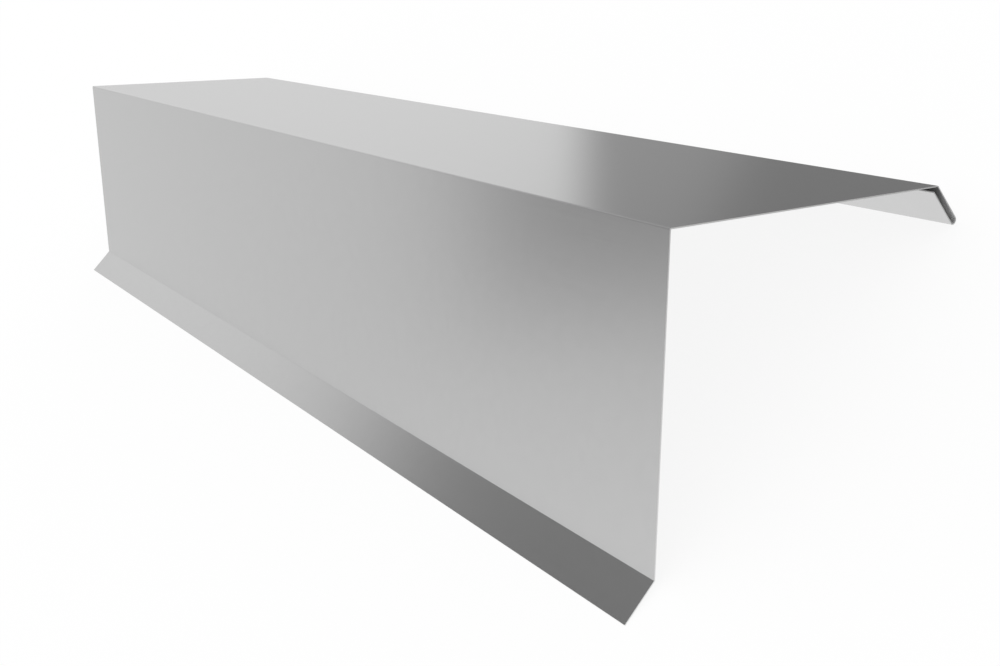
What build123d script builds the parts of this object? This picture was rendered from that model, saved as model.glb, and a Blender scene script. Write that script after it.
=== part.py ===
from build123d import *
import os
from math import acos, asin, atan2, degrees, hypot, radians, tan

# Verge trim: one galvanised steel sheet, folded along its length to cover the edge of a roof.
# X runs along the trim, -Y is the weather side of the front leg and Z is up.

# Driving sizes, in millimetres and degrees.
# A leg is measured over its outside face, between the corners where outside faces would meet.
TRIM_LENGTH = 1000.0
SHEET_THICKNESS = 0.8
BEND_RADIUS = 0.3
FRONT_HEIGHT = 201.3
ROOF_WIDTH = 223.5
ROOF_BEND = 90.0
DRIP_WIDTH = 29.5
DRIP_BEND = 45.0
LIP_WIDTH = 33.9
LIP_BEND = 45.0
HEM_GAP = 4.1
HEM_MOUTH = 4.1
FLAP_SETBACK = 0.1

# The outside face is on the hollow side of the drip bend and on the round side of the others.
ROUND_SIDE_RADIUS = BEND_RADIUS + SHEET_THICKNESS
HEM_INSIDE_RADIUS = HEM_GAP / 2
HEM_RADIUS = HEM_INSIDE_RADIUS + SHEET_THICKNESS


def setback(radius, bend):
    """Distance from the corner of two faces to where a round of this radius leaves one of them."""
    return radius * tan(radians(bend) / 2)


DRIP_SETBACK = setback(BEND_RADIUS, DRIP_BEND)
ROOF_SETBACK = setback(ROUND_SIDE_RADIUS, ROOF_BEND)
LIP_SETBACK = setback(ROUND_SIDE_RADIUS, LIP_BEND)

# Flat stretches of the outside face, in order from the drip's cut edge to the hem's.
DRIP_FLAT = DRIP_WIDTH - DRIP_SETBACK
FRONT_FLAT = FRONT_HEIGHT - DRIP_SETBACK - ROOF_SETBACK
ROOF_FLAT = ROOF_WIDTH - ROOF_SETBACK - LIP_SETBACK
LIP_FLAT = LIP_WIDTH - LIP_SETBACK - HEM_RADIUS
FLAP_FLAT = LIP_WIDTH - FLAP_SETBACK - HEM_RADIUS

# The flap is folded right back, and leans a little where the hem's mouth differs from its gap.
FLAP_REACH = hypot(FLAP_FLAT, HEM_INSIDE_RADIUS)
FLAP_LEAN = acos((HEM_MOUTH - HEM_INSIDE_RADIUS) / FLAP_REACH) - atan2(FLAP_FLAT, HEM_INSIDE_RADIUS)
HEM_BEND = 180 + degrees(FLAP_LEAN)


def sheet_face(depth):
    """One face of the folded sheet as lines and arcs, at this depth under the outside face.

    The front leg stands upright, and the outside face starts at the drip's cut edge.
    """
    heading = Vector(0, 1).rotate(Axis.Z, -DRIP_BEND)
    corner = heading.rotate(Axis.Z, -90) * depth
    # Each leg ends in a bend: its turn, left being positive, and its radius at this depth.
    legs = (
        (DRIP_FLAT, DRIP_BEND, BEND_RADIUS + depth),
        (FRONT_FLAT, -ROOF_BEND, ROUND_SIDE_RADIUS - depth),
        (ROOF_FLAT, -LIP_BEND, ROUND_SIDE_RADIUS - depth),
        (LIP_FLAT, -HEM_BEND, HEM_RADIUS - depth),
    )
    edges = []
    for flat, turn, radius in legs:
        leg = Line(corner, corner + heading * flat)
        bend = JernArc(leg @ 1, heading, radius, turn)
        edges += [leg, bend]
        corner = bend @ 1
        heading = bend % 1
    flap = Line(corner, corner + heading * FLAP_FLAT)
    return edges + [flap]


def folded_section():
    """Section of the sheet, turned to lie on the drip's lower edge and on the round of the hem."""
    outside = sheet_face(0)
    inside = sheet_face(SHEET_THICKNESS)
    drip_cut = Line(outside[0] @ 0, inside[0] @ 0)
    flap_cut = Line(outside[-1] @ 1, inside[-1] @ 1)
    section = make_face(outside + inside + [drip_cut, flap_cut])

    hem_round = outside[-2]
    reach = hem_round.arc_center - drip_cut @ 1
    tilt = atan2(reach.Y, reach.X) - asin(HEM_RADIUS / reach.length)
    return section.rotate(Axis.Z, -degrees(tilt))


def verge_trim():
    """The trim at rest, with the middle of its underside at the origin."""
    section = Plane.YZ * folded_section()
    trim = extrude(section, amount=TRIM_LENGTH / 2, dir=(1, 0, 0), both=True)
    box = trim.bounding_box()
    return trim.translate((0, -box.center().Y, -box.min.Z))


os.makedirs("parts", exist_ok=True)
export_step(verge_trim(), "parts/verge_trim.step")
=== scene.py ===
"""Dresses one folded verge trim in galvanised steel, on a pale floor in soft studio light."""

import logging
from cmath import phase, rect
from dataclasses import dataclass, field
from enum import Enum
from math import asin, cos, degrees, radians, tan
from typing import Any

import bpy
from mathutils import Matrix, Vector


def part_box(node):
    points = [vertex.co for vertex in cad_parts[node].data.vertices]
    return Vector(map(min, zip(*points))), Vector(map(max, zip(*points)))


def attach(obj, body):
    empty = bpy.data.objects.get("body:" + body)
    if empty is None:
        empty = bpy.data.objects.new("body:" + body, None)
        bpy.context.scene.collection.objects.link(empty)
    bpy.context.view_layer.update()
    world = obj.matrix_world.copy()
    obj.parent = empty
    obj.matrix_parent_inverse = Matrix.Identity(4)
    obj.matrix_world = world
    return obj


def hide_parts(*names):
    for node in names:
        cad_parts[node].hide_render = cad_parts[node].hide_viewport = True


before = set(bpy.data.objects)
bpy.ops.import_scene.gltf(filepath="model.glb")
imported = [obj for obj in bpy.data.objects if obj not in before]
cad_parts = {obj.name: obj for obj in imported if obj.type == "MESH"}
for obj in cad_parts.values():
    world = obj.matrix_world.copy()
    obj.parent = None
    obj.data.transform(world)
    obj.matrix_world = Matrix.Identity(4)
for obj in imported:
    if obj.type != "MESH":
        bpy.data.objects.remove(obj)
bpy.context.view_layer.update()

NODE = "verge_trim"
BODY = "root"
SLOT = "galvanised_steel"
WHITE = (1.0, 1.0, 1.0, 1.0)

log = logging.getLogger(NODE)


class Term:
    """One output socket that Python arithmetic works on: each operator adds a Math node."""

    def __init__(self, builder: "NodeBuilder", socket: bpy.types.NodeSocket) -> None:
        """Wraps a socket.

        Args:
            builder: The builder of the tree that the socket is in.
            socket: The output socket that carries the number.
        """
        self.builder = builder
        self.socket = socket

    def math(self, operation: str, *operands: "Term | float") -> "Term":
        """Adds one Math node.

        Args:
            operation: The Math node's operation.
            operands: Its operands, in order.

        Returns:
            The result as a term.
        """
        sockets = dict(enumerate(operands))
        return self.builder.term("ShaderNodeMath", {"operation": operation}, sockets)

    def __add__(self, other: "Term | float") -> "Term":
        """This term plus another."""
        return self.math("ADD", self, other)

    def __radd__(self, other: float) -> "Term":
        """A number plus this term."""
        return self.math("ADD", other, self)

    def __sub__(self, other: "Term | float") -> "Term":
        """This term less another."""
        return self.math("SUBTRACT", self, other)

    def __rsub__(self, other: float) -> "Term":
        """A number less this term."""
        return self.math("SUBTRACT", other, self)

    def __mul__(self, other: "Term | float") -> "Term":
        """This term times another."""
        return self.math("MULTIPLY", self, other)

    def __rmul__(self, other: float) -> "Term":
        """A number times this term."""
        return self.math("MULTIPLY", other, self)

    def __truediv__(self, other: "Term | float") -> "Term":
        """This term over another."""
        return self.math("DIVIDE", self, other)

    def __rtruediv__(self, other: float) -> "Term":
        """A number over this term."""
        return self.math("DIVIDE", other, self)

    def __neg__(self) -> "Term":
        """This term with its sign turned round."""
        return self * -1.0

    def step(self, low: float, high: float) -> "Term":
        """Rises smoothly from 0 to 1.

        Args:
            low: Where the rise starts.
            high: Where it ends.

        Returns:
            0 below low, 1 above high and a smooth rise between.
        """
        sockets = {"Value": self, "From Min": low, "From Max": high}
        return self.builder.term("ShaderNodeMapRange", {"interpolation_type": "SMOOTHSTEP"}, sockets)

    def between(self, first: "Term | float", second: "Term | float") -> "Term":
        """Goes from the first value to the second as this term goes from 0 to 1."""
        return first + self * (second - first)


class NodeBuilder:
    """Adds nodes and links to one node tree."""

    def __init__(self, tree: bpy.types.NodeTree) -> None:
        """Starts on a tree, which is emptied.

        Args:
            tree: A material's, world's or geometry group's tree.
        """
        self.tree = tree
        tree.nodes.clear()

    @staticmethod
    def find(sockets: Any, key: int | str) -> bpy.types.NodeSocket:
        """Finds a socket.

        Args:
            sockets: A node's inputs or outputs.
            key: The socket's index, identifier or name.

        Returns:
            The socket.
        """
        if isinstance(key, str):
            for socket in sockets:
                if socket.identifier == key:
                    return socket
        return sockets[key]

    def add(self, kind: str, settings: dict | None = None, sockets: dict | None = None) -> bpy.types.Node:
        """Adds one node.

        Args:
            kind: The node's type.
            settings: The node's own properties, set first.
            sockets: What goes into its inputs: plain values, terms or output sockets.

        Returns:
            The new node.
        """
        node = self.tree.nodes.new(kind)
        for name, value in (settings or {}).items():
            setattr(node, name, value)
        for key, value in (sockets or {}).items():
            target = self.find(node.inputs, key)
            if isinstance(value, Term):
                value = value.socket
            if isinstance(value, bpy.types.NodeSocket):
                self.tree.links.new(value, target)
            else:
                target.default_value = value
        return node

    def out(self, kind: str, settings: dict | None = None, sockets: dict | None = None,
            output: int | str = 0) -> bpy.types.NodeSocket:
        """Adds one node and gives one of its outputs.

        Args:
            kind: The node's type.
            settings: The node's own properties.
            sockets: What goes into its inputs.
            output: Which output is wanted.

        Returns:
            The output socket.
        """
        return self.find(self.add(kind, settings, sockets).outputs, output)

    def term(self, kind: str, settings: dict | None = None, sockets: dict | None = None,
             output: int | str = 0) -> Term:
        """Adds one node and gives one of its outputs as a term, with the same arguments as out."""
        return Term(self, self.out(kind, settings, sockets, output))


class GroupBuilder(NodeBuilder):
    """Adds nodes to a new geometry node group with named inputs and one geometry output."""

    def __init__(self, name: str) -> None:
        """Starts a new group.

        Args:
            name: The group's name.
        """
        super().__init__(bpy.data.node_groups.new(name, "GeometryNodeTree"))
        self.inputs = self.add("NodeGroupInput")

    def input(self, name: str, kind: str = "NodeSocketFloat") -> bpy.types.NodeSocket:
        """Adds a named input to the group.

        Args:
            name: The input's name.
            kind: Its socket type.

        Returns:
            The socket that carries it inside the group.
        """
        item = self.tree.interface.new_socket(name, in_out="INPUT", socket_type=kind)
        return self.find(self.inputs.outputs, item.identifier)

    def number(self, name: str) -> Term:
        """Adds a named number to the group's inputs and gives it as a term."""
        return Term(self, self.input(name))

    def recall(self, name: str) -> Term:
        """Reads a number that was stored on the geometry."""
        return self.term("GeometryNodeInputNamedAttribute", {"data_type": "FLOAT"}, {"Name": name})

    def store(self, geometry: bpy.types.NodeSocket, name: str, value: Any, domain: str,
              kind: str = "FLOAT", where: Any = True) -> bpy.types.NodeSocket:
        """Stores a named value on the geometry.

        Args:
            geometry: The geometry that carries it.
            name: The value's name.
            value: A number, a term or the socket that carries the value.
            domain: What the value belongs to, such as POINT or FACE.
            kind: The value's type.
            where: Which points or faces get it.

        Returns:
            The geometry with the value on it.
        """
        return self.out("GeometryNodeStoreNamedAttribute", {"data_type": kind, "domain": domain},
                        {"Geometry": geometry, "Selection": where, "Name": name, "Value": value})

    def finish(self, geometry: bpy.types.NodeSocket) -> bpy.types.NodeTree:
        """Closes the group.

        Args:
            geometry: The socket that the group gives out.

        Returns:
            The finished group.
        """
        self.tree.interface.new_socket("Geometry", in_out="OUTPUT", socket_type="NodeSocketGeometry")
        self.add("NodeGroupOutput", sockets={"Geometry": geometry})
        return self.tree


@dataclass(frozen=True)
class GalvanisedSteel:
    """Smooth zinc coating on rolled sheet: satin grey, bare where it was cut, and a matt coat inside the
    hem whose lighter grey is painted light.

    Greys are shares of white, patterns are in waves a metre, and the rolling lines' height is in metres.
    """

    grey: float = 0.6
    mottle: float = 0.025
    cut_grey: float = 0.7
    # Painted light: the lighter grey inside the hem stands in for light bounced there; the roughness is
    # the matt backing coat.
    dull_and_painted_light_grey: float = 0.8
    roughness: float = 0.2
    cut_roughness: float = 0.34
    dull_roughness: float = 1.0
    grain_roughness: float = 0.03
    bend_roughness: float = 0.25
    crystals_per_metre: float = 160.0
    frost_per_metre: float = 1100.0
    lines_across_per_metre: float = 1500.0
    lines_along_per_metre: float = 7.0
    line_height: float = 4e-7

    def material(self) -> bpy.types.Material:
        """Makes the material.

        Returns:
            A material that reads the sheet's own map and its bend, cut and matt marks, the matt mark also
            carrying painted light inside the hem.
        """
        material = bpy.data.materials.new(SLOT)
        material.use_nodes = True
        nodes = NodeBuilder(material.node_tree)
        place = nodes.out("ShaderNodeUVMap", {"uv_map": Sheet.MAP})
        crystals = nodes.term("ShaderNodeTexVoronoi", {"voronoi_dimensions": "2D"},
                              {"Vector": place, "Scale": self.crystals_per_metre}, "Color")
        frost = self.noise(nodes, place, self.frost_per_metre)
        lines = self.rolling_lines(nodes, place)
        bend, cut, dull_and_painted_light = (
            nodes.term("ShaderNodeAttribute", {"attribute_name": mark}, None, "Fac")
            for mark in (Sheet.BEND_MARK, Sheet.CUT_MARK, Sheet.DULL_MARK)
        )

        tone = (crystals + frost + lines) / 3.0
        coat = self.blend(nodes, tone, self.shade(self.grey * (1.0 - self.mottle)),
                          self.shade(self.grey * (1.0 + self.mottle)))
        # Inside the hem the coat turns a lighter grey, strongest at the hem's round: partly a matt
        # backing coat, partly painted light standing in for light bounced inside the hem.
        coat = self.blend(nodes, dull_and_painted_light * dull_and_painted_light, coat, self.shade(self.dull_and_painted_light_grey))
        colour = self.blend(nodes, cut, coat, self.shade(self.cut_grey))
        grain = (frost + lines - 1.0) * self.grain_roughness
        roughness = self.roughness + grain + bend * (self.bend_roughness - self.roughness)
        roughness = roughness + cut * (self.cut_roughness - self.roughness)
        roughness = roughness + dull_and_painted_light * (1.0 - cut) * (self.dull_roughness - self.roughness)
        relief = nodes.out("ShaderNodeBump", None,
                           {"Height": lines, "Distance": self.line_height}, "Normal")
        surface = nodes.out("ShaderNodeBsdfPrincipled", None,
                            {"Base Color": colour, "Metallic": 1.0, "Roughness": roughness,
                             "Normal": relief})
        nodes.add("ShaderNodeOutputMaterial", None, {"Surface": surface})
        return material

    @staticmethod
    def shade(grey: float) -> tuple[float, float, float, float]:
        """A neutral grey as a colour."""
        return grey, grey, grey, 1.0

    @staticmethod
    def blend(nodes: NodeBuilder, share: Term, first: Any, second: Any) -> bpy.types.NodeSocket:
        """Mixes two colours.

        Args:
            nodes: The material's builder.
            share: The second colour's share, from 0 to 1.
            first: A colour or the socket that carries one.
            second: Another.

        Returns:
            The socket that carries the mixed colour.
        """
        return nodes.out("ShaderNodeMix", {"data_type": "RGBA"},
                         {"Factor_Float": share, "A_Color": first, "B_Color": second}, "Result_Color")

    @staticmethod
    def noise(nodes: NodeBuilder, place: bpy.types.NodeSocket, scale: float) -> Term:
        """Adds even noise.

        Args:
            nodes: The material's builder.
            place: The coordinates that it follows.
            scale: Its waves in a metre.

        Returns:
            The noise, from 0 to 1.
        """
        return nodes.term("ShaderNodeTexNoise", {"noise_dimensions": "2D"},
                          {"Vector": place, "Scale": scale, "Detail": 1.0})

    def rolling_lines(self, nodes: NodeBuilder, place: bpy.types.NodeSocket) -> Term:
        """Adds the fine lines that the mill's rolls leave along the sheet.

        Args:
            nodes: The material's builder.
            place: The sheet's own coordinates.

        Returns:
            The lines' height, from 0 to 1.
        """
        stretch = (self.lines_along_per_metre, self.lines_across_per_metre, 1.0)
        drawn = nodes.out("ShaderNodeMapping", None, {"Vector": place, "Scale": stretch})
        return self.noise(nodes, drawn, 1.0)


class Fold(Enum):
    """Which way a bend turns the next leg."""

    OUT = 1
    IN = -1


@dataclass(frozen=True)
class Leg:
    """A flat stretch of the sheet and the bend that ends it, by the outside face."""

    name: str
    flat: float
    bend: float = 0.0
    radius: float = 0.0
    fold: Fold = Fold.IN

    @property
    def turn(self) -> float:
        """The bend's turn in radians, to the outside being positive."""
        return radians(self.bend) * self.fold.value

    @property
    def girth(self) -> float:
        """The width that the leg and its bend take up across the flat sheet."""
        return self.flat + abs(self.turn) * self.radius


@dataclass
class Sheet:
    """Grows the folded sheet from a flat blank, one bend line after another, with geometry nodes.

    Sizes are in metres and angles in radians. The matt mark, which also carries painted light inside the
    hem, fades from 1 at its middle to 0 at its reach, both across the flat sheet.
    """

    MAP = "sheet_map"
    GIRTH = "girth"
    BEND_MARK = "bend_mark"
    CUT_MARK = "cut_mark"
    DULL_MARK = "dull_mark"
    WELD = 1e-6

    legs: list[Leg]
    length: float
    thickness: float
    dull_middle: float
    dull_reach: float = 0.054
    cell: float = 0.025
    bend_step: float = radians(7.5)
    corner: float = radians(40.0)

    def strip_group(self) -> bpy.types.NodeTree:
        """Makes the group that lays one strip of the blank.

        Returns:
            A group with the strip's start, width, cells and bend mark as inputs.
        """
        group = GroupBuilder("Blank Strip")
        length = group.number("Length")
        start = group.number("Start")
        width = group.number("Width")
        cells = group.number("Cells")
        columns = group.number("Columns")
        mark = group.number("Bend Mark")
        grid = group.out("GeometryNodeMeshGrid", None,
                         {"Size X": length, "Size Y": width, "Vertices X": columns + 1.0,
                          "Vertices Y": cells + 1.0}, "Mesh")
        middle = group.out("ShaderNodeCombineXYZ", None, {"Y": start + width / 2.0})
        moved = group.out("GeometryNodeTransform", None, {"Geometry": grid, "Translation": middle})
        return group.finish(group.store(moved, self.BEND_MARK, mark, "FACE"))

    def fold_group(self) -> bpy.types.NodeTree:
        """Makes the group that turns everything past one bend line.

        Returns:
            A group with the geometry and the bend's start, turn and radius as inputs.
        """
        group = GroupBuilder("Fold At Line")
        geometry = group.input("Geometry", "NodeSocketGeometry")
        start = group.number("Start")
        turn = group.number("Turn")
        radius = group.number("Radius")
        girth = group.recall(self.GIRTH)
        side = turn.math("SIGN", turn)
        past = girth.math("MAXIMUM", girth - start, 0.0)
        rolled = past.math("MINIMUM", past, radius * turn.math("ABSOLUTE", turn))
        place = group.out("GeometryNodeInputPosition")
        back = group.out("ShaderNodeCombineXYZ", None, {"Y": rolled})
        drawn = group.out("ShaderNodeVectorMath", {"operation": "SUBTRACT"}, {0: place, 1: back})
        centre = group.out("ShaderNodeCombineXYZ", None, {"Y": start, "Z": side * radius})
        turned = group.out("ShaderNodeVectorRotate", {"rotation_type": "X_AXIS"},
                           {"Vector": drawn, "Center": centre, "Angle": side * rolled / radius})
        moved = group.out("GeometryNodeSetPosition", None, {"Geometry": geometry, "Position": turned})
        return group.finish(moved)

    def weld(self, group: GroupBuilder, parts: list[bpy.types.NodeSocket]) -> bpy.types.NodeSocket:
        """Joins meshes and merges the points where they meet.

        Args:
            group: The sheet's group.
            parts: The meshes, edge to edge.

        Returns:
            The one mesh.
        """
        joined = group.add("GeometryNodeJoinGeometry")
        for part in parts:
            group.tree.links.new(part, joined.inputs[0])
        return group.out("GeometryNodeMergeByDistance", None,
                         {"Geometry": joined.outputs[0], "Distance": self.WELD})

    def blank(self, group: GroupBuilder, strips: list[bpy.types.NodeSocket],
              length: Term, thickness: Term) -> bpy.types.NodeSocket:
        """Welds the strips and gives the blank its thickness, its map, its cut edges and its mark for the
        matt coat and the painted light inside the hem.

        Args:
            group: The sheet's group.
            strips: The strips, edge to edge.
            length: The sheet's length.
            thickness: The sheet's thickness.

        Returns:
            The closed flat blank, with its outside face at height 0.
        """
        face = self.weld(group, strips)
        place = group.out("GeometryNodeInputPosition")
        along = group.term("ShaderNodeSeparateXYZ", None, {"Vector": place}, "X")
        across = group.term("ShaderNodeSeparateXYZ", None, {"Vector": place}, "Y")
        face = group.store(face, self.GIRTH, across, "POINT")
        spot = group.out("ShaderNodeCombineXYZ", None, {"X": along + length / 2.0, "Y": across})
        face = group.store(face, self.MAP, spot, "CORNER", "FLOAT2")
        down = group.out("ShaderNodeCombineXYZ", None, {"Z": -thickness})
        thick = group.add("GeometryNodeExtrudeMesh", {"mode": "FACES"},
                          {"Mesh": face, "Offset": down, "Individual": False})
        cut = group.store(thick.outputs["Mesh"], self.CUT_MARK, 1.0, "FACE", where=thick.outputs["Side"])
        # This mark fades out from the hem's middle; it carries the matt coat and the painted light inside
        # the hem.
        away = across - group.number("Dull Middle")
        fade = 1.0 - away.math("ABSOLUTE", away) / group.number("Dull Reach")
        dull_and_painted_light = fade.math("MAXIMUM", fade, 0.0)
        marked = group.store(cut, self.DULL_MARK, dull_and_painted_light, "POINT", where=thick.outputs["Top"])
        inside = group.out("GeometryNodeFlipFaces", None, {"Mesh": marked})
        return self.weld(group, [face, inside])

    def tree(self) -> bpy.types.NodeTree:
        """Makes the whole sheet's group: the blank, its folds, its lean and place, and its finish.

        Returns:
            The group, with the sheet's sizes as named inputs.
        """
        strip_group = self.strip_group()
        fold_group = self.fold_group()
        group = GroupBuilder("Folded Sheet")
        length = group.number("Length")
        thickness = group.number("Thickness")
        cell = group.number("Cell")
        bend_step = group.number("Bend Step")
        columns = length.math("CEIL", length / cell)
        start: Term | float = 0.0
        strips = []
        folds = []
        for leg in self.legs:
            flat = group.number(f"{leg.name} Flat")
            widths = [(flat, flat.math("CEIL", flat / cell), 0.0)]
            if leg.bend:
                turn = group.number(f"{leg.name} Turn")
                radius = group.number(f"{leg.name} Radius")
                swing = turn.math("ABSOLUTE", turn)
                folds.append((start + flat, turn, radius))
                widths.append((swing * radius, swing.math("CEIL", swing / bend_step), 1.0))
            for width, cells, mark in widths:
                sockets = {"Length": length, "Start": start, "Width": width, "Cells": cells,
                           "Columns": columns, "Bend Mark": mark}
                strips.append(self.call(group, strip_group, sockets))
                start = start + width
        sheet = self.blank(group, strips, length, thickness)
        for begin, turn, radius in reversed(folds):
            sockets = {"Geometry": sheet, "Start": begin, "Turn": turn, "Radius": radius}
            sheet = self.call(group, fold_group, sockets)
        return group.finish(self.settle(group, sheet))

    @staticmethod
    def call(group: GroupBuilder, inner: bpy.types.NodeTree, sockets: dict) -> bpy.types.NodeSocket:
        """Adds an inner group to a group.

        Args:
            group: The outer group.
            inner: The inner group.
            sockets: What goes into the inner group's inputs.

        Returns:
            The inner group's geometry.
        """
        return group.out("GeometryNodeGroup", {"node_tree": inner}, sockets, "Geometry")

    def settle(self, group: GroupBuilder, sheet: bpy.types.NodeSocket) -> bpy.types.NodeSocket:
        """Leans the folded sheet, puts it in its place and finishes it.

        Args:
            group: The sheet's group.
            sheet: The folded sheet, with its first leg level.

        Returns:
            The finished sheet: bends shaded smooth, flats and cut corners sharp, and its material set.
        """
        lean = group.number("Lean")
        stand = group.input("Place", "NodeSocketVector")
        finish = group.input("Finish", "NodeSocketMaterial")
        place = group.out("GeometryNodeInputPosition")
        leaned = group.out("ShaderNodeVectorRotate", {"rotation_type": "X_AXIS"},
                           {"Vector": place, "Angle": lean})
        moved = group.out("ShaderNodeVectorMath", {"operation": "ADD"}, {0: leaned, 1: stand})
        sheet = group.out("GeometryNodeSetPosition", None, {"Geometry": sheet, "Position": moved})
        bend = group.recall(self.BEND_MARK)
        smooth = bend.math("GREATER_THAN", bend, 0.5)
        sheet = group.out("GeometryNodeSetShadeSmooth", None, {"Geometry": sheet, "Shade Smooth": smooth})
        angle = group.term("GeometryNodeInputMeshEdgeAngle", None, None, "Unsigned Angle")
        corner = angle.math("GREATER_THAN", angle, self.corner)
        sheet = group.out("GeometryNodeSetShadeSmooth", {"domain": "EDGE"},
                          {"Geometry": sheet, "Selection": corner, "Shade Smooth": False})
        sheet = group.out("GeometryNodeRealizeInstances", None, {"Geometry": sheet})
        return group.out("GeometryNodeSetMaterial", None, {"Geometry": sheet, "Material": finish})

    def grow(self, name: str, lean: float, place: Vector, finish: bpy.types.Material) -> bpy.types.Object:
        """Makes the sheet as a plain mesh object.

        Args:
            name: The object's name.
            lean: The first leg's angle to the floor, in radians.
            place: Where the start of the first leg's outside face goes.
            finish: The sheet's material.

        Returns:
            The object, with no modifier left on it.
        """
        values = {"Length": self.length, "Thickness": self.thickness, "Cell": self.cell,
                  "Bend Step": self.bend_step, "Dull Middle": self.dull_middle,
                  "Dull Reach": self.dull_reach, "Lean": lean, "Place": place, "Finish": finish}
        for leg in self.legs:
            values |= {f"{leg.name} Flat": leg.flat, f"{leg.name} Turn": leg.turn,
                       f"{leg.name} Radius": leg.radius}
        piece = bpy.data.objects.new(name, bpy.data.meshes.new(name))
        bpy.context.scene.collection.objects.link(piece)
        modifier = piece.modifiers.new("Folded Sheet", "NODES")
        modifier.node_group = self.tree()
        for item in modifier.node_group.interface.items_tree:
            if item.in_out == "INPUT":
                modifier[item.identifier] = values[item.name]
        graph = bpy.context.evaluated_depsgraph_get()
        mesh = bpy.data.meshes.new_from_object(piece.evaluated_get(graph), depsgraph=graph)
        piece.modifiers.clear()
        piece.data = mesh
        mesh.name = name
        return piece


@dataclass
class VergeTrim:
    """The trim's sizes, in metres and degrees, over its outside faces."""

    thickness: float = 0.0008
    bend_radius: float = 0.0003
    front_height: float = 0.2013
    roof_width: float = 0.2235
    roof_bend: float = 90.0
    drip_width: float = 0.0295
    drip_bend: float = 45.0
    lip_width: float = 0.0339
    lip_bend: float = 45.0
    hem_gap: float = 0.0041
    hem_bend: float = 180.0
    flap_setback: float = 0.0001
    finish: GalvanisedSteel = field(default_factory=GalvanisedSteel)

    @property
    def hem_radius(self) -> float:
        """The outside radius of the hem's round."""
        return self.hem_gap / 2 + self.thickness

    def legs(self) -> list[Leg]:
        """Works out the sheet's flats and bends.

        Returns:
            The legs in order, from the drip's cut edge to the hem's.
        """
        round_side = self.bend_radius + self.thickness
        drip_back = self.bend_radius * tan(radians(self.drip_bend) / 2)
        roof_back = round_side * tan(radians(self.roof_bend) / 2)
        lip_back = round_side * tan(radians(self.lip_bend) / 2)
        hem = self.hem_radius
        return [
            Leg("Drip", self.drip_width - drip_back, self.drip_bend, self.bend_radius, Fold.OUT),
            Leg("Front", self.front_height - drip_back - roof_back, self.roof_bend, round_side),
            Leg("Roof", self.roof_width - roof_back - lip_back, self.lip_bend, round_side),
            Leg("Lip", self.lip_width - lip_back - hem, self.hem_bend, hem),
            Leg("Flap", self.lip_width - self.flap_setback - hem),
        ]

    def hem_centre(self) -> complex:
        """Walks the section to its hem.

        Returns:
            The centre of the hem's round, across and up from the drip's cut edge, with the drip level.
        """
        place = 0j
        heading = 1 + 0j
        centre = 0j
        for leg in self.legs()[:-1]:
            place += leg.flat * heading
            centre = place + 1j * heading * leg.radius * leg.fold.value
            swing = rect(1.0, leg.turn)
            place = centre + (place - centre) * swing
            heading *= swing
        return centre

    def lean(self) -> float:
        """The drip's angle to the floor, where its lower edge and the hem's round both touch it."""
        reach = self.hem_centre() + 1j * self.thickness
        return asin(self.hem_radius / abs(reach)) - phase(reach)

    def build(self) -> bpy.types.Object:
        """Makes the trim at rest in the frame's own place.

        Returns:
            The dressed trim.
        """
        low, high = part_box(NODE)
        legs = self.legs()
        *before, lip, _ = legs
        hem_middle = sum(leg.girth for leg in before) + (lip.flat + lip.girth) / 2
        sheet = Sheet(legs, high[0] - low[0], self.thickness, hem_middle)
        lean = self.lean()
        place = Vector((0.0, low[1], self.thickness * cos(lean)))
        return sheet.grow("folded_trim", lean, place, self.finish.material())

    def dress(self, piece: bpy.types.Object) -> None:
        """Puts the trim on its body and hides the solid that it stands for.

        Args:
            piece: The trim's object.
        """
        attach(piece, BODY)
        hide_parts(NODE)


@dataclass(frozen=True)
class PhotoCamera:
    """The photograph's viewpoint, in metres, degrees and millimetres of lens."""

    location: tuple[float, float, float] = (0.92264, -0.26796, 0.50187)
    aim: tuple[float, float, float] = (0.34891, -0.07356, 0.09147)
    roll: float = -36.047
    lens: float = 41.396

    def build(self) -> None:
        """Adds the camera and makes it the scene's."""
        camera = bpy.data.objects.new("camera", bpy.data.cameras.new("camera"))
        camera.data.lens = self.lens
        place = Vector(self.location)
        look = (Vector(self.aim) - place).to_track_quat("-Z", "Y").to_matrix().to_4x4()
        roll = Matrix.Rotation(radians(self.roll), 4, "Z")
        camera.matrix_world = Matrix.Translation(place) @ look @ roll
        bpy.context.scene.collection.objects.link(camera)
        bpy.context.scene.camera = camera


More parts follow.
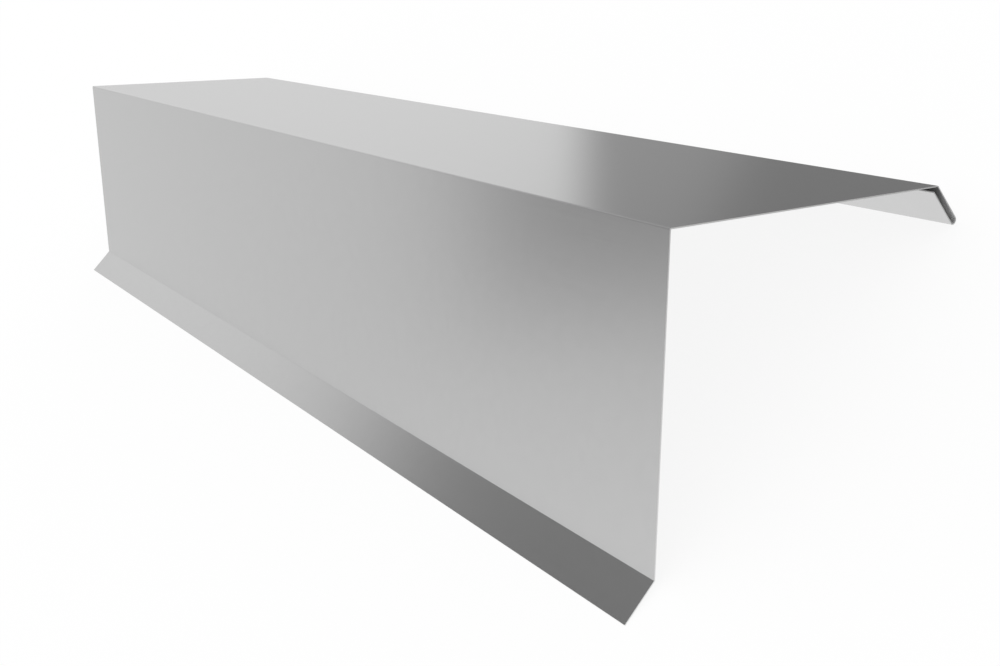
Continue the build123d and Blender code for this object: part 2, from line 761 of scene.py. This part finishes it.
@dataclass(frozen=True)
class Studio:
    """A white floor, and a grey room with one wide pale wall beyond the trim's far end.

    The room is turned with the roof leg. Its angles are in degrees as seen from the trim: azimuth from
    -X towards the roof leg's free edge, elevation from the roof leg's plane. An edge has two angles,
    where it starts and where it ends. The wall is a gable: its top falls to both sides.
    """

    turn: float
    floor_size: float = 30.0
    floor_glow: float = 0.87

    # The pale wall beyond the far end, lighter higher up.
    wall_left: tuple[float, float] = (-35.3, -32.8)
    wall_right: tuple[float, float] = (37.47, 40.59)
    wall_top: tuple[float, float] = (39.7, 47.9)
    wall_slope: float = 0.72
    wall_level: float = 0.787
    wall_high: tuple[float, float] = (8.0, 16.0)
    wall_high_level: float = 0.895

    # The ground all round, lightest straight below.
    ground_top: tuple[float, float] = (-4.0, 4.0)
    ground_edge: tuple[float, float] = (-20.3, -10.3)
    ground_level: float = 0.806
    nadir: tuple[float, float] = (-44.0, -16.0)
    nadir_level: float = 1.0

    # The dark sides of the room, left and right of the wall, which meet in the middle.
    left_rise: tuple[float, float] = (12.0, 28.0)
    left_level: float = 0.248
    left_low_level: float = 0.357
    right_end: tuple[float, float] = (49.3, 51.1)
    right_slant: float = 0.41
    right_level: float = 0.23
    right_near_level: float = 0.35
    middle: tuple[float, float] = (-32.0, -12.0)

    # The near side, beyond the trim's near end, and the ceiling.
    near: tuple[float, float] = (80.0, 100.0)
    near_rise: tuple[float, float] = (-18.0, -8.0)
    near_level: float = 0.4
    near_low_level: float = 1.0
    ceiling: tuple[float, float] = (37.0, 60.0)
    ceiling_level: float = 0.8

    def build(self) -> None:
        """Adds the floor and the room's light."""
        self.lay_floor()
        self.light_room()
        bpy.context.scene.view_settings.view_transform = "Standard"

    def lay_floor(self) -> None:
        """Lays the floor, which shows the trim's shadow on white."""
        half = self.floor_size / 2
        mesh = bpy.data.meshes.new("floor")
        corners = [(-half, -half, 0.0), (half, -half, 0.0), (half, half, 0.0), (-half, half, 0.0)]
        mesh.from_pydata(corners, [], [(0, 1, 2, 3)])
        floor = bpy.data.objects.new("floor", mesh)
        bpy.context.scene.collection.objects.link(floor)
        floor.visible_glossy = False
        material = bpy.data.materials.new("white_floor")
        material.use_nodes = True
        nodes = NodeBuilder(material.node_tree)
        seen = nodes.term("ShaderNodeLightPath", None, None, "Is Camera Ray")
        paper = nodes.out("ShaderNodeBsdfDiffuse", None, {"Color": WHITE})
        glow = nodes.out("ShaderNodeEmission", None, {"Color": WHITE, "Strength": 1.0})
        surface = nodes.out("ShaderNodeMixShader", None, {0: seen * self.floor_glow, 1: paper, 2: glow})
        nodes.add("ShaderNodeOutputMaterial", None, {"Surface": surface})
        mesh.materials.append(material)

    def light_room(self) -> None:
        """Lights the room: even white on the floor, and wall, ground and ceiling in reflections."""
        world = bpy.data.worlds.new("studio")
        bpy.context.scene.world = world
        world.use_nodes = True
        nodes = NodeBuilder(world.node_tree)
        ray = nodes.out("ShaderNodeTexCoord", None, None, "Generated")
        turned = nodes.out("ShaderNodeVectorRotate", {"rotation_type": "X_AXIS"},
                           {"Vector": ray, "Angle": radians(self.turn)})
        parts = nodes.add("ShaderNodeSeparateXYZ", None, {"Vector": turned})
        x, y, z = (Term(nodes, socket) for socket in parts.outputs)
        azimuth = y.math("ARCTAN2", y, -x) * degrees(1.0)
        elevation = z.math("ARCSINE", z) * degrees(1.0)

        aside = azimuth.math("ABSOLUTE", azimuth)
        under_top = 1.0 - (elevation + aside * self.wall_slope).step(*self.wall_top)
        wall = azimuth.step(*self.wall_left) * (1.0 - azimuth.step(*self.wall_right)) * under_top
        lit = wall.math("MAXIMUM", wall, 1.0 - elevation.step(*self.ground_edge))
        light = elevation.step(*self.ground_top).between(self.ground_level, self.wall_level)
        light = light + elevation.step(*self.wall_high) * (self.wall_high_level - self.wall_level)
        light = light + (1.0 - elevation.step(*self.nadir)) * (self.nadir_level - self.ground_level)

        left = elevation.step(*self.left_rise).between(self.left_low_level, self.left_level)
        past_right = (azimuth + elevation * self.right_slant).step(*self.right_end)
        right = past_right.between(self.right_near_level, self.right_level)
        shade = azimuth.step(*self.middle).between(left, right)

        room = lit.between(shade, light)
        near = elevation.step(*self.near_rise).between(self.near_low_level, self.near_level)
        room = aside.step(*self.near).between(room, near)
        room = elevation.step(*self.ceiling).between(room, self.ceiling_level)

        mirrored = nodes.term("ShaderNodeLightPath", None, None, "Is Glossy Ray")
        level = mirrored.between(1.0, room)
        glow = nodes.out("ShaderNodeBackground", None, {"Color": WHITE, "Strength": level})
        nodes.add("ShaderNodeOutputWorld", None, {"Surface": glow})


def main() -> None:
    """Builds the trim, the camera and the studio in order."""
    logging.basicConfig(level=logging.INFO, format="%(message)s")
    trim = VergeTrim()
    piece = trim.build()
    trim.dress(piece)
    lean = degrees(trim.lean())
    log.info("%s: %d faces, drip leans %.2f degrees", piece.name, len(piece.data.polygons), lean)
    PhotoCamera().build()
    log.info("camera in place")
    Studio(turn=trim.drip_bend - lean).build()
    log.info("studio in place")


if __name__ == "__main__":
    main()
